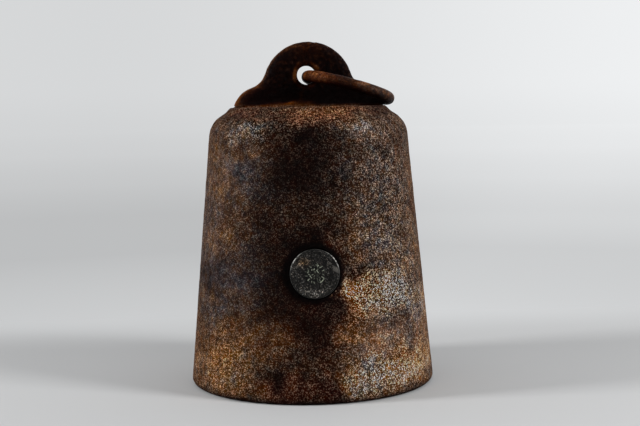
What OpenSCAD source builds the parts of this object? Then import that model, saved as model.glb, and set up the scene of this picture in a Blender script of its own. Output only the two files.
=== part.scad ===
// Bell-shaped cast-iron scale weight with a lug, a loose carrying ring and a stamp plug.
// Millimetres, +Z up, origin at the centre of the flat underside, -Y towards the stamp plug.

/* [Body] */
// Diameter of the base, where the sloping side would meet the floor
base_d = 70; // [60:0.5:84]
// Height of the flat top above the floor
body_h = 79; // [70:0.5:95]
// Slope of the side from upright, in degrees
side_draft = 5.3; // [4:0.1:7]
// Diameter of the flat top, out to where the shoulder starts
flat_d = 44.4; // [43:0.2:48]
// Slope of the shoulder below level, in degrees
shoulder_slope = 37; // [30:1:44]
// Rounding between the shoulder and the side
shoulder_round = 6.2; // [4:0.1:8]
// Rounding at the edge of the flat top
flat_round = 1; // [0.5:0.1:1.5]
// Rounding at the foot of the side
base_round = 2.4; // [1:0.1:3.5]

/* [Lug] */
// Height of the lug above the flat top
lug_h = 18.4; // [17:0.1:21]
// Radius of the lug's round top
crown_r = 12.9; // [12:0.1:14]
// Sideways offset of the lug from the body's axis, as cast
lug_offset = 0.2; // [-0.5:0.05:0.5]
// Distance from the edge of the flat top in to the end of the lug's foot
foot_inset = 0.7; // [0.5:0.1:3]
// Radius of the hump at each end of the foot
hump_r = 8; // [6.5:0.1:8.5]
// Depth of the hump's centre below the flat top
hump_drop = 2.1; // [1:0.1:3]
// Radius of the hollow between the round top and the hump
waist_r = 6.2; // [4:0.1:7]
// Thickness of the lug level with the eye
lug_t = 7; // [6.2:0.1:7.4]
// Draft on each face of the lug, in degrees
lug_draft = 2; // [1:0.1:3]
// Depth of the rounding along the lug's edge
edge_round = 3.2; // [2.6:0.1:4]
// Radius of the fillet where the lug's faces run into the flat top
root_fillet = 2.6; // [1.5:0.1:3]

/* [Eye] */
// Diameter of the hole through the lug
eye_d = 5.9; // [5.7:0.05:6.4]
// Height of the hole's centre above the flat top
eye_h = 9; // [8.6:0.1:9.6]
// Sideways offset of the hole from the body's axis, as cast
eye_offset = -0.3; // [-0.6:0.05:0.6]
// Diameter of the countersink at the lug's face
countersink_d = 8.4; // [8:0.1:9]
// Angle of the countersink from the hole's axis, in degrees
countersink_angle = 48; // [40:1:52]

/* [Ring] */
// Outside diameter of the ring
ring_od = 27.4; // [26:0.2:29]
// Diameter of the ring's iron bar
bar_d = 3.4; // [3:0.05:3.5]
// Gap between the bar's butted ends
butt_gap = 0.3; // [0.2:0.05:0.6]
// Clearance between the bar and the hole's wall where it lies lowest
seat_gap = 0.55; // [0.45:0.05:0.65]
// Direction from the hole's centre to the bar, below level, in degrees
seat_angle = 55; // [40:1:65]
// Clearance between the ring and the edge of the flat top that it leans towards
rest_gap = 0.15; // [0.1:0.05:0.4]
// Sideways tilt of the ring, the front edge up, in degrees
ring_tilt = 4; // [0:0.5:6]

/* [Stamp plug] */
// Diameter of the pocket in the side
pocket_d = 13.4; // [12:0.1:15]
// Height of the plug's centre above the floor
plug_z = 34.9; // [25:0.5:45]
// Depth of the pocket, from the sloping side
pocket_depth = 12; // [10:0.5:16]
// Length of the plug that lies within the pocket
plug_length = 7; // [6:0.1:8]
// How far the plug's face stands out of the side
plug_proud = 0.35; // [0.1:0.05:0.8]
// Chamfer round the plug's face
plug_chamfer = 0.45; // [0.2:0.05:0.8]
// Diameter of the locking groove in the pocket's wall
groove_d = 15.4; // [15.2:0.1:17]
// Width of the locking groove
groove_w = 1.6; // [1:0.1:2]
// Depth of the groove's near side, from the sloping side
groove_depth = 3.6; // [2.5:0.1:4]
// Clearance round the plug and the lead behind it
fit_gap = 0.05; // [0.02:0.01:0.1]

/* [Hidden] */
$fn = 96;

iron_colour = [0.29, 0.21, 0.17];
ring_colour = [0.33, 0.21, 0.15];
plug_colour = [0.25, 0.24, 0.21];
lead_colour = [0.45, 0.46, 0.48];

// Body sizes that follow from the driving ones
base_r = base_d / 2;
flat_r = flat_d / 2;
side_taper = tan(side_draft);
shoulder_fall = tan(shoulder_slope);
// The shoulder's slope meets the side's slope here, before rounding
shoulder_corner = let (z = (body_h - (base_r - flat_r) * shoulder_fall) / (1 - side_taper * shoulder_fall))
    [base_r - z * side_taper, z];

// Lug sizes, measured from the centre of the flat top
crown_h = lug_h - crown_r;
foot_reach = flat_r - foot_inset;
hump_centre = [foot_reach - sqrt(hump_r * hump_r - hump_drop * hump_drop), -hump_drop];
waist_centre = circles_meet([0, crown_h], crown_r + waist_r, hump_centre, hump_r + waist_r);
root_sink = 1.2;
root_start = 0.15;
cap_steps = 12;
arc_step = 4.5;
crown_end = 87;
foot_spread = 10;
steepest_share = 0.62;

// Eye and ring
eye_r = eye_d / 2;
bar_r = bar_d / 2;
ring_r = ring_od / 2 - bar_r;
eye_z = body_h + eye_h;
seat = eye_r - bar_r - seat_gap;
pivot = [eye_offset + seat * cos(seat_angle), eye_z - seat * sin(seat_angle)];
// The tilt lowers the ring's rear half, which crosses the edge of the flat top where it has this width
rest_width = ring_r / 2;
rest_reach = ring_r + sqrt(ring_r * ring_r - rest_width * rest_width);
ring_lean = asin((pivot[1] - body_h - bar_r - rest_gap - rest_width * sin(ring_tilt)) / rest_reach);
butt_turn = 115;

// Stamp plug
pocket_r = pocket_d / 2;
plug_r = pocket_r - fit_gap;
wall_r = base_r - plug_z * side_taper;
mouth_room = 6;
lead_length = pocket_depth - plug_length - 2 * fit_gap;

// Upper meeting point of two circles
function circles_meet(a, ra, b, rb) =
    let (gap = b - a, d = norm(gap), along = (d * d + ra * ra - rb * rb) / (2 * d))
    a + along * gap / d + sqrt(ra * ra - along * along) * [-gap[1], gap[0]] / d;

// Direction of a point from a centre, in degrees
function bearing(from, to) = atan2(to[1] - from[1], to[0] - from[0]);

// Points from one angle to another round a centre, each with the level part of its outward normal
function arc_levels(centre, r, from, to) =
    let (steps = ceil(abs(to - from) / arc_step))
    [for (i = [0 : steps]) let (a = from + (to - from) * i / steps)
        [centre[0] + r * cos(a), centre[1] + r * sin(a), abs(cos(a))]];

// Right-hand outline of the lug from its root to its crown: reach, height and normal at each level
function lug_levels() =
    let (hump_top = bearing(hump_centre, waist_centre), crown_start = bearing([0, crown_h], waist_centre),
         hump_start = asin((root_start + hump_drop) / hump_r),
         hump = arc_levels(hump_centre, hump_r, hump_start, hump_top),
         waist = arc_levels(waist_centre, waist_r, hump_top - 180, crown_start - 180),
         crown = arc_levels([0, crown_h], crown_r, crown_start, crown_end))
    concat([[hump[0][0], -root_sink, hump[0][2]]],
        hump,
        [for (i = [1 : len(waist) - 1]) waist[i]],
        [for (i = [1 : len(crown) - 1]) crown[i]]);

// How far the root fillet stands out at a height above the flat top
function fillet_out(h) =
    h >= root_fillet ? 0 : root_fillet - sqrt(root_fillet * root_fillet - pow(root_fillet - max(h, root_start), 2));

// Half the lug's thickness at a height above the flat top
function lug_half(h) =
    let (face = lug_t / 2 - (h - eye_h) * tan(lug_draft), left = lug_h - h)
    (left < edge_round ? face * sqrt(1 - pow((edge_round - left) / edge_round, 2)) : face) + fillet_out(h);

// Length of the rounded cap at each end of a level
function cap_length(reach, h, level) =
    min(reach, edge_round / max(level, steepest_share) + foot_spread * fillet_out(h) / root_fillet);

// One level of the lug: a flat-sided outline with an elliptical cap at each end
function lug_section(l) =
    let (cap = cap_length(l[0], l[1], l[2]), half = lug_half(l[1]), straight = l[0] - cap)
    [for (side = [1, -1]) for (i = [0 : cap_steps]) let (a = side * (180 * i / cap_steps - 90))
        [side * (straight + cap * cos(a)), half * sin(a), body_h + l[1]]];

function quad_pair(a, b, c, d) = [[a, b, c], [a, c, d]];

// Triangles that join ring upon ring of points, with a cap on both ends
function loft_faces(rings, size) = concat(
    [[for (i = [0 : size - 1]) i]],
    [for (k = [0 : rings - 2]) for (i = [0 : size - 1]) let (j = (i + 1) % size, low = k * size, high = low + size)
        for (t = quad_pair(low + i, high + i, high + j, low + j)) t],
    [[for (i = [size - 1 : -1 : 0]) (rings - 1) * size + i]]);

// Where a corner's rounding touches the line towards a neighbour
function touch(corner, towards, other, r) =
    let (u = (towards - corner) / norm(towards - corner), v = (other - corner) / norm(other - corner),
         half = acos(u * v) / 2)
    corner + u * r / tan(half);

// Centre of a corner's rounding
function round_centre(corner, a, b, r) =
    let (u = (a - corner) / norm(a - corner), v = (b - corner) / norm(b - corner), half = acos(u * v) / 2)
    corner + (u + v) / norm(u + v) * r / sin(half);

// Right half of the body's upright section
module body_section() {
    foot = [0, 0];
    base = [base_r, 0];
    shoulder = shoulder_corner;
    rim = [flat_r, body_h];
    top = [0, body_h];
    polygon([
        foot,
        touch(base, foot, shoulder, base_round), touch(base, shoulder, foot, base_round),
        touch(shoulder, base, rim, shoulder_round), touch(shoulder, rim, base, shoulder_round),
        touch(rim, shoulder, top, flat_round), touch(rim, top, shoulder, flat_round),
        top
    ]);
    translate(round_centre(base, foot, shoulder, base_round)) circle(base_round);
    translate(round_centre(shoulder, base, rim, shoulder_round)) circle(shoulder_round);
    translate(round_centre(rim, shoulder, top, flat_round)) circle(flat_round);
}

// The lug as cast, before its hole
module lug_blank() {
    sections = [for (l = lug_levels()) lug_section(l)];
    points = [for (s = sections) for (p = s) p];
    polyhedron(points, loft_faces(len(sections), len(sections[0])), convexity = 4);
}

// The eye: a round hole through the lug, countersunk on both faces
module eye_cutter() {
    widening = countersink_d / 2 - eye_r;
    depth = widening / tan(countersink_angle);
    over = 3;
    translate([eye_offset, 0, eye_z]) rotate([90, 0, 0]) {
        cylinder(h = lug_t + 2 * over, r = eye_r, center = true);
        for (side = [0, 1]) mirror([0, 0, side]) translate([0, 0, lug_t / 2 - depth])
            cylinder(h = depth + over, r1 = eye_r, r2 = eye_r + (depth + over) * tan(countersink_angle));
    }
}

// Places a child, drawn along +Z, on the pocket's axis with z = 0 on the sloping side
module at_pocket() {
    translate([0, -wall_r, plug_z]) rotate([90 - side_draft, 0, 0]) children();
}

module pocket_cutter() {
    at_pocket() {
        translate([0, 0, -pocket_depth]) cylinder(h = pocket_depth + mouth_room, r = pocket_r);
        translate([0, 0, -groove_depth - groove_w]) cylinder(h = groove_w, r = groove_d / 2);
    }
}

module weight_casting() {
    color(iron_colour) difference() {
        union() {
            rotate_extrude() body_section();
            translate([lug_offset, 0, 0]) lug_blank();
        }
        eye_cutter();
        pocket_cutter();
    }
}

module adjusting_lead() {
    color(lead_colour) at_pocket()
        translate([0, 0, fit_gap - pocket_depth]) cylinder(h = lead_length, r = plug_r);
}

module stamp_plug() {
    collar_w = groove_w - 2 * fit_gap;
    color(plug_colour) at_pocket() {
        translate([0, 0, -plug_length]) cylinder(h = plug_length + plug_proud - plug_chamfer, r = plug_r);
        translate([0, 0, plug_proud - plug_chamfer])
            cylinder(h = plug_chamfer, r1 = plug_r, r2 = plug_r - plug_chamfer);
        translate([0, 0, -groove_depth - groove_w + fit_gap]) cylinder(h = collar_w, r = groove_d / 2 - fit_gap);
    }
}

// The ring hangs through the eye and leans down to the right
module carrying_ring() {
    gap_turn = 2 * asin(butt_gap / 2 / ring_r);
    color(ring_colour) translate([pivot[0], 0, pivot[1]]) rotate([0, ring_lean, 0]) rotate([-ring_tilt, 0, 0])
        translate([ring_r, 0, 0]) rotate([0, 0, butt_turn + gap_turn / 2])
            rotate_extrude(angle = 360 - gap_turn) translate([ring_r, 0]) circle(bar_r, $fn = 48);
}

weight_casting();
adjusting_lead();
stamp_plug();
carrying_ring();
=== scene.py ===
# Rusty cast-iron scale weight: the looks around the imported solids
import math

import bpy
import numpy as np
from mathutils import Matrix, Vector
from mathutils import noise as fractal


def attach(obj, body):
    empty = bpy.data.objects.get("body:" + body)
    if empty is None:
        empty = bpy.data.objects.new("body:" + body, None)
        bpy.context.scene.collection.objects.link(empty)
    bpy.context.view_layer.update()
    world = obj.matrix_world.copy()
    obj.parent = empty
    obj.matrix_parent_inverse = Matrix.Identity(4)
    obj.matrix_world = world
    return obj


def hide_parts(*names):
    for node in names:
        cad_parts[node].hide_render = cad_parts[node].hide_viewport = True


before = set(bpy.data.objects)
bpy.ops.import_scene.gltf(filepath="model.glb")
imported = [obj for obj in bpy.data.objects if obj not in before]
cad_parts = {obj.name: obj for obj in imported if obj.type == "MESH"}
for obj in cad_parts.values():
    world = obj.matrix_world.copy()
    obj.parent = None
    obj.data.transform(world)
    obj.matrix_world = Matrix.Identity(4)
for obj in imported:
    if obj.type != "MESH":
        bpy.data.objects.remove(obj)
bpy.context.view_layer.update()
print("frame loaded:", len(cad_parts), "solids")

mm = 0.001

# The photograph's camera: its lens stands a little above the weight's flat top
cameraView = {
    "distance": 370.0,      # from the weight's axis, mm
    "height": 81.6,
    "around": -1.9,         # degrees round the weight, towards the left
    "pitch": 5.15,          # degrees downwards
    "heading": 0.46,        # degrees right of the axis
    "roll": -1.05,
    "lens": 72.34,
    "sensor": 36.0,
    "nearest": 10.0,        # what is nearer isn't shown, mm
}


def makeCamera(view):
    data = bpy.data.cameras.new("photoCamera")
    data.lens = view["lens"]
    data.sensor_width = view["sensor"]
    data.clip_start = view["nearest"] * mm
    camera = bpy.data.objects.new("photoCamera", data)
    bpy.context.scene.collection.objects.link(camera)
    around = math.radians(view["around"])
    place = Vector((math.sin(around), -math.cos(around), 0)) * view["distance"]
    place.z = view["height"]
    turn = Matrix.Rotation(around - math.radians(view["heading"]), 4, "Z")
    tip = Matrix.Rotation(math.radians(90 - view["pitch"]), 4, "X")
    roll = Matrix.Rotation(math.radians(view["roll"]), 4, "Z")
    camera.matrix_world = Matrix.Translation(place * mm) @ turn @ tip @ roll
    bpy.context.scene.camera = camera


makeCamera(cameraView)


# Small helpers for meshes

def fullTurn(count):
    return np.linspace(0, 2 * math.pi, count, endpoint=False)


def meshObject(name, points, faces):
    mesh = bpy.data.meshes.new(name)
    mesh.from_pydata([tuple(p) for p in points], [], faces)
    mesh.update()
    made = bpy.data.objects.new(name, mesh)
    bpy.context.scene.collection.objects.link(made)
    return made


def bridgeRows(rows, around):
    # quads between closed rows of points that are stored one after the other
    faces = []
    for row in range(rows - 1):
        low = row * around
        for i in range(around):
            j = (i + 1) % around
            faces.append((low + i, low + j, low + around + j, low + around + i))
    return faces


def lengthAlong(points):
    steps = np.linalg.norm(np.diff(points, axis=0), axis=1)
    return np.concatenate(([0], np.cumsum(steps)))


def roundedProfile(corners, spacing, arcSteps=24):
    # corners are (radius, height, rounding); the result runs along them with the roundings as arcs
    dense = []
    for i, (r, z, rounding) in enumerate(corners):
        here = np.array((r, z), float)
        if rounding == 0:
            dense.append(here)
            continue
        before = np.array(corners[i - 1][:2], float) - here
        after = np.array(corners[i + 1][:2], float) - here
        before /= np.linalg.norm(before)
        after /= np.linalg.norm(after)
        half = math.acos(float(before @ after)) / 2
        centre = here + (before + after) / np.linalg.norm(before + after) * rounding / math.sin(half)
        start = here + before * rounding / math.tan(half) - centre
        end = here + after * rounding / math.tan(half) - centre
        a0 = math.atan2(start[1], start[0])
        a1 = math.atan2(end[1], end[0])
        a1 = a0 + (a1 - a0 + math.pi) % (2 * math.pi) - math.pi
        for t in np.linspace(a0, a1, arcSteps):
            dense.append(centre + rounding * np.array((math.cos(t), math.sin(t))))
    dense = np.array(dense)
    along = lengthAlong(dense)
    count = max(2, int(round(along[-1] / spacing)))
    wanted = np.linspace(0, along[-1], count + 1)
    return np.stack([np.interp(wanted, along, dense[:, k]) for k in (0, 1)], 1)


def spun(name, profile, turns, place=Matrix.Identity(4)):
    # a closed lathe shape from a profile that starts and ends on the axis, given in mm
    inner = profile[1:-1]
    points = []
    for r, z in inner:
        points += [(r * math.cos(t), r * math.sin(t), z) for t in turns]
    faces = bridgeRows(len(inner), len(turns))
    foot, head = len(points), len(points) + 1
    points += [(0, 0, profile[0][1]), (0, 0, profile[-1][1])]
    n = len(turns)
    top = (len(inner) - 1) * n
    faces += [(foot, (i + 1) % n, i) for i in range(n)]
    faces += [(head, top + i, top + (i + 1) % n) for i in range(n)]
    made = meshObject(name, points, faces)
    made.data.transform(Matrix.Scale(mm, 4) @ place)
    return made


def applyModifiers(piece):
    bpy.context.view_layer.update()
    graph = bpy.context.evaluated_depsgraph_get()
    result = bpy.data.meshes.new_from_object(piece.evaluated_get(graph))
    old = piece.data
    result.name = piece.name
    piece.modifiers.clear()
    piece.data = result
    bpy.data.meshes.remove(old)


def combine(base, other, operation):
    # boolean with the other object, which is then removed
    cut = base.modifiers.new("combine", "BOOLEAN")
    cut.operation = operation
    cut.solver = "MANIFOLD"
    cut.object = other
    applyModifiers(base)
    bpy.data.objects.remove(other)


def finishMesh(piece, sharpAngle=48):
    mesh = piece.data
    mesh.shade_smooth()
    mesh.set_sharp_from_angle(angle=math.radians(sharpAngle))


# The casting: a lathe-turned bell, a lofted lug, and the eye and pocket cut out of them

bell = {
    "baseRadius": 35.0, "height": 79.0, "draft": 5.3, "flatRadius": 22.2,
    "shoulderSlope": 37.0, "shoulderRound": 7.6, "flatRound": 0.9, "baseRound": 1.6,
    # a shallow hollow under the flat's edge
    "hollowRadius": 23.6, "hollowHeight": 77.5, "hollowRound": 4.0,
    "grid": 0.5,                        # spacing of the side's mesh, mm
    "topGrid": 0.8,                     # and of the flat top's
    "underGrid": 1.6,                   # and of the underside's
    "underBand": 6.0, "topBand": 2.0,   # how far the side's mesh runs on under the base and over the flat
    "underGap": 0.4, "topGap": 0.6,     # between that mesh and the next ring of points
    "columns": 392, "crowding": 0.22,   # of points round it, which stand closer at the front
}
lug = {
    "height": 18.4, "crownRadius": 12.9, "offset": 0.2, "footInset": 0.7, "humpRadius": 8.0,
    "humpDrop": 2.1, "waistRadius": 6.2, "thickness": 7.0, "draft": 2.0, "edgeRound": 3.2,
    "rootFillet": 2.6, "footSpread": 10.0, "rootSink": 1.2, "rootStart": 0.12,
    "crownEnd": 88.5,                   # degrees of the crown's arc, which stops just short of its top
    "bluntest": 0.62,                   # the least levelness that makes the ends longer
    "levelStep": 0.42, "around": 150, "endSteps": 40,
}
eye = {
    "radius": 2.70, "height": 8.9, "offset": -0.25, "mouthRadius": 4.2, "mouthDepth": 1.3,
    "flare": 1.1, "flareReach": 2.4, "flareSteps": 12, "turns": 72,
}
pocket = {
    "radius": 6.7, "height": 34.9, "depth": 12.0,
    "grooveRadius": 7.7, "grooveWidth": 1.6, "grooveDepth": 3.6,
    "rim": [(0, -1.0), (0.35, 0.1), (0.84, 1.4), (1.2, 6)],     # beyond the radius, and out of the wall
    "turns": 96,
}
taper = math.tan(math.radians(bell["draft"]))
eyeHeight = bell["height"] + eye["height"]


def bellProfile():
    fall = math.tan(math.radians(bell["shoulderSlope"]))
    z = (bell["height"] - (bell["baseRadius"] - bell["flatRadius"]) * fall) / (1 - taper * fall)
    side = [(bell["baseRadius"] - bell["underBand"], 0, 0),
            (bell["baseRadius"], 0, bell["baseRound"]),
            (bell["baseRadius"] - z * taper, z, bell["shoulderRound"]),
            (bell["hollowRadius"], bell["hollowHeight"], bell["hollowRound"]),
            (bell["flatRadius"], bell["height"], bell["flatRound"]),
            (bell["flatRadius"] - bell["topBand"], bell["height"], 0)]
    shell = roundedProfile(side, bell["grid"])
    under = [(r, 0.0) for r in np.arange(0, shell[0][0] - bell["underGap"], bell["underGrid"])]
    flat = [(r, bell["height"]) for r in np.arange(shell[-1][0] - bell["topGap"], 0, -bell["topGrid"])]
    flat[-1] = (0.0, bell["height"])
    return np.concatenate((under, shell, flat))


def bellTurns():
    # columns stand closer at the front, where the plug sits
    even = fullTurn(bell["columns"])
    return even - bell["crowding"] * np.sin(even) - math.pi / 2


def circlesMeet(a, ra, b, rb):
    gap = b - a
    d = np.linalg.norm(gap)
    along = (d * d + ra * ra - rb * rb) / (2 * d)
    return a + along * gap / d + math.sqrt(ra * ra - along * along) * np.array((-gap[1], gap[0])) / d


def lugOutline():
    # reach, height and levelness of the normal, from the root up to the crown
    crownRadius, waistRadius, humpRadius = lug["crownRadius"], lug["waistRadius"], lug["humpRadius"]
    crown = np.array((0.0, lug["height"] - crownRadius))
    reach = bell["flatRadius"] - lug["footInset"]
    hump = np.array((reach - math.sqrt(humpRadius ** 2 - lug["humpDrop"] ** 2), -lug["humpDrop"]))
    waist = circlesMeet(crown, crownRadius + waistRadius, hump, humpRadius + waistRadius)
    humpStart = math.asin((lug["rootStart"] + lug["humpDrop"]) / humpRadius)
    humpTop = math.atan2(*(waist - hump)[::-1])
    crownStart = math.atan2(*(waist - crown)[::-1])
    arcs = [(hump, humpRadius, humpStart, humpTop),
            (waist, waistRadius, humpTop - math.pi, crownStart - math.pi),
            (crown, crownRadius, crownStart, math.radians(lug["crownEnd"]))]
    levels = []
    for centre, radius, start, end in arcs:
        steps = max(2, int(abs(end - start) * radius / lug["levelStep"]))
        for t in np.linspace(start, end, steps + 1)[(1 if levels else 0):]:
            x, z = centre + radius * np.array((math.cos(t), math.sin(t)))
            levels.append((x, z, abs(math.cos(t))))
    return [(levels[0][0], -lug["rootSink"], levels[0][2])] + levels


def filletOut(h):
    r = lug["rootFillet"]
    if h >= r:
        return 0.0
    return r - math.sqrt(r * r - (r - max(h, lug["rootStart"])) ** 2)


def lugSection(reach, h, level):
    # points spread evenly round one level: two straight sides and two half ellipses
    left = lug["height"] - h
    rounding = lug["edgeRound"]
    face = lug["thickness"] / 2 - (h - eye["height"]) * math.tan(math.radians(lug["draft"]))
    if left < rounding:
        face *= math.sqrt(1 - ((rounding - left) / rounding) ** 2)
    half = face + filletOut(h)
    foot = lug["footSpread"] * filletOut(h) / lug["rootFillet"]
    cap = min(reach, rounding / max(level, lug["bluntest"]) + foot)
    dense = []
    for side in (1, -1):
        for t in np.linspace(-math.pi / 2, math.pi / 2, lug["endSteps"]):
            dense.append((side * (reach - cap + cap * math.cos(t)), side * half * math.sin(t)))
    dense.append(dense[0])
    dense = np.array(dense)
    along = lengthAlong(dense)
    wanted = np.linspace(0, along[-1], lug["around"], endpoint=False)
    xs, ys = [np.interp(wanted, along, dense[:, k]) for k in (0, 1)]
    return [(x + lug["offset"], y, bell["height"] + h) for x, y in zip(xs, ys)]


def makeLugBlank():
    n = lug["around"]
    outline = lugOutline()
    points = []
    for reach, h, level in outline:
        points += lugSection(reach, h, level)
    rows = len(outline)
    faces = bridgeRows(rows, n)
    faces.append(tuple(range(n - 1, -1, -1)))
    faces.append(tuple((rows - 1) * n + i for i in range(n)))
    made = meshObject("lugBlank", points, faces)
    made.data.transform(Matrix.Scale(mm, 4))
    return made


def eyeCutter():
    # the hole's mouth is rubbed round by the ring, so it opens like a trumpet
    half = lug["thickness"] / 2
    start = half - eye["mouthDepth"]
    wider = eye["mouthRadius"] - eye["radius"]
    flare = [(eye["radius"] + wider * t ** 2, start + eye["mouthDepth"] * t)
             for t in np.linspace(0, 1, eye["flareSteps"])]
    flare.append((eye["mouthRadius"] + eye["flareReach"], half + eye["flare"]))
    flare.append((0, half + eye["flare"]))
    profile = [(r, -y) for r, y in reversed(flare)] + flare
    stand = Matrix.Translation((eye["offset"], 0, eyeHeight)) @ Matrix.Rotation(math.pi / 2, 4, "X")
    return spun("eyeCutter", profile, fullTurn(eye["turns"]), stand)


def atPocket():
    wall = bell["baseRadius"] - pocket["height"] * taper
    lean = Matrix.Rotation(math.radians(90 - bell["draft"]), 4, "X")
    return Matrix.Translation((0, -wall, pocket["height"])) @ lean


def pocketCutter():
    r, deep = pocket["radius"], pocket["depth"]
    groove, near = pocket["grooveRadius"], pocket["grooveDepth"]
    far = near + pocket["grooveWidth"]
    profile = [(0, -deep), (r, -deep), (r, -far), (groove, -far), (groove, -near), (r, -near)]
    # the pocket's rim is rubbed away a little, which leaves a dark line round the plug
    profile += [(r + out, z) for out, z in pocket["rim"]]
    profile.append((0, profile[-1][1]))
    return spun("pocketCutter", profile, fullTurn(pocket["turns"]), atPocket())


# Helpers for nodes

waveRoughness = 0.6


def fill(tree, node, given):
    # gives each named or numbered input another node's socket, or else a value
    for key, value in dict(given).items():
        socket = node.inputs[key]
        if isinstance(value, bpy.types.NodeSocket):
            tree.links.new(value, socket)
        elif socket.type == "RGBA":
            socket.default_value = (*value, 1.0)
        else:
            socket.default_value = value
    return node


def put(tree, kind, given=(), **settings):
    node = tree.nodes.new(kind)
    for key, value in settings.items():
        setattr(node, key, value)
    return fill(tree, node, given)


def maths(tree, operation, *values):
    return put(tree, "ShaderNodeMath", enumerate(values), operation=operation).outputs[0]


def plus(tree, a, b):
    return maths(tree, "ADD", a, b)


def times(tree, a, b):
    return maths(tree, "MULTIPLY", a, b)


def timesPlus(tree, a, b, c):
    return maths(tree, "MULTIPLY_ADD", a, b, c)


def vectors(tree, operation, a, b=None, scale=None):
    given = {key: value for key, value in ((0, a), (1, b), ("Scale", scale)) if value is not None}
    node = put(tree, "ShaderNodeVectorMath", given, operation=operation)
    return node.outputs["Value"] if operation == "LENGTH" else node.outputs[0]


def noise(tree, place, size, detail=2.0, roughness=0.5, offset=(0, 0, 0)):
    # size is the feature size in mm, as a number or a socket
    fineness = maths(tree, "DIVIDE", 1.0, size) if isinstance(size, bpy.types.NodeSocket) else 1 / size
    given = {"Scale": fineness, "Detail": detail, "Roughness": roughness,
             "Vector": vectors(tree, "ADD", place, offset)}
    return put(tree, "ShaderNodeTexNoise", given).outputs[0]


# Geometry nodes that give the cast skin its lumps, grain and rust pits

castSkin = {
    "lumpHeight": 0.22, "lumpSize": 11.0,
    "rippleHeight": 0.16, "rippleSize": 3.2,
    "grainHeight": 0.20, "grainSize": 1.15,
    "pitDepth": 0.22, "pitSize": 2.4,
}
# The pits' form on every skin: width and softness within their cells, and where they come thick
pitForm = {"edge": 0.36, "soft": 0.12, "merge": 0.25, "patchSize": 7.0, "patchGain": 2.6, "gain": 3.0}
# Where each texture is read, so that no two of them look alike
reliefOffsets = {"ripple": (31, 7, 3), "grain": (5, 83, 17), "pits": (9, 2, 40), "patches": (71, 0, 11)}
lumpDetail = 1.5


def reliefHeight(tree, place, given):
    lump = maths(tree, "SUBTRACT", noise(tree, place, given["lumpSize"], lumpDetail), 0.5)
    ripple = noise(tree, place, given["rippleSize"], 2.0, waveRoughness, reliefOffsets["ripple"])
    grain = noise(tree, place, given["grainSize"], 2.0, waveRoughness, reliefOffsets["grain"])
    height = times(tree, lump, given["lumpHeight"])
    height = timesPlus(tree, maths(tree, "SUBTRACT", ripple, 0.5), given["rippleHeight"], height)
    height = timesPlus(tree, maths(tree, "SUBTRACT", grain, 0.5), given["grainHeight"], height)
    # pits: round hollows where a cell's centre is near and the patchiness allows
    cells = put(tree, "ShaderNodeTexVoronoi", feature="SMOOTH_F1")
    fill(tree, cells, {"Vector": vectors(tree, "ADD", place, reliefOffsets["pits"]),
                       "Scale": maths(tree, "DIVIDE", 1.0, given["pitSize"]),
                       "Smoothness": pitForm["merge"]})
    inside = maths(tree, "SUBTRACT", cells.outputs["Distance"], pitForm["edge"])
    hollow = maths(tree, "SMOOTH_MIN", inside, 0.0, pitForm["soft"])
    patchy = noise(tree, place, pitForm["patchSize"], offset=reliefOffsets["patches"])
    pits = times(tree, hollow, times(tree, patchy, pitForm["patchGain"]))
    pits = times(tree, times(tree, pits, given["pitDepth"]), pitForm["gain"])
    return plus(tree, height, pits)


def reliefTree(name):
    tree = bpy.data.node_groups.new(name, "GeometryNodeTree")
    tree.interface.new_socket(name="Geometry", in_out="INPUT", socket_type="NodeSocketGeometry")
    tree.interface.new_socket(name="Geometry", in_out="OUTPUT", socket_type="NodeSocketGeometry")
    for label in castSkin:
        tree.interface.new_socket(name=label, in_out="INPUT", socket_type="NodeSocketFloat")
    tree.interface.new_socket(name="finish", in_out="INPUT", socket_type="NodeSocketMaterial")
    given = put(tree, "NodeGroupInput").outputs
    place = vectors(tree, "SCALE", put(tree, "GeometryNodeInputPosition").outputs[0], scale=1 / mm)
    hold = put(tree, "GeometryNodeInputNamedAttribute", {"Name": "skin"}, data_type="FLOAT")
    height = times(tree, reliefHeight(tree, place, given), hold.outputs["Attribute"])
    normal = put(tree, "GeometryNodeInputNormal").outputs[0]
    offset = vectors(tree, "SCALE", normal, scale=times(tree, height, mm))
    move = put(tree, "GeometryNodeSetPosition", {"Geometry": given["Geometry"], "Offset": offset})
    whole = put(tree, "GeometryNodeRealizeInstances", {0: move.outputs[0]})
    dressed = {"Geometry": whole.outputs[0], "Material": given["finish"]}
    put(tree, "NodeGroupOutput", {0: put(tree, "GeometryNodeSetMaterial", dressed).outputs[0]})
    return tree


def addRelief(piece, tree, settings, material):
    skin = piece.modifiers.new("skin", "NODES")
    skin.node_group = tree
    values = {**settings, "finish": material}
    for item in tree.interface.items_tree:
        if item.name in values:
            skin[item.identifier] = values[item.name]
    applyModifiers(piece)


# Helpers for fields, which are numbers painted on a piece's points

def vertexArray(piece, name):
    values = np.zeros(len(piece.data.vertices) * 3)
    piece.data.vertices.foreach_get(name, values)
    return values.reshape(-1, 3)


def pointArray(piece):
    return vertexArray(piece, "co") / mm


def storeFloat(piece, name, values):
    attribute = piece.data.attributes.new(name, "FLOAT", "POINT")
    attribute.data.foreach_set("value", np.asarray(values, np.float32))


def fade(values, start, end):
    # runs smoothly from 0 at the start to 1 at the end
    t = np.clip((values - start) / (end - start), 0, 1)
    return t * t * (3 - 2 * t)


def hump(values, middle, spread):
    return np.exp(-((values - middle) / spread) ** 2)


# How far the relief reaches: from and to, mm, above the foot, outside the pocket and from the eye's axis
holdReach = {"foot": (0.0, 1.6), "pocket": (0.3, 2.2), "eye": (3.2, 5.6), "lugFrom": 2.0, "lugShare": 0.25}


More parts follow.
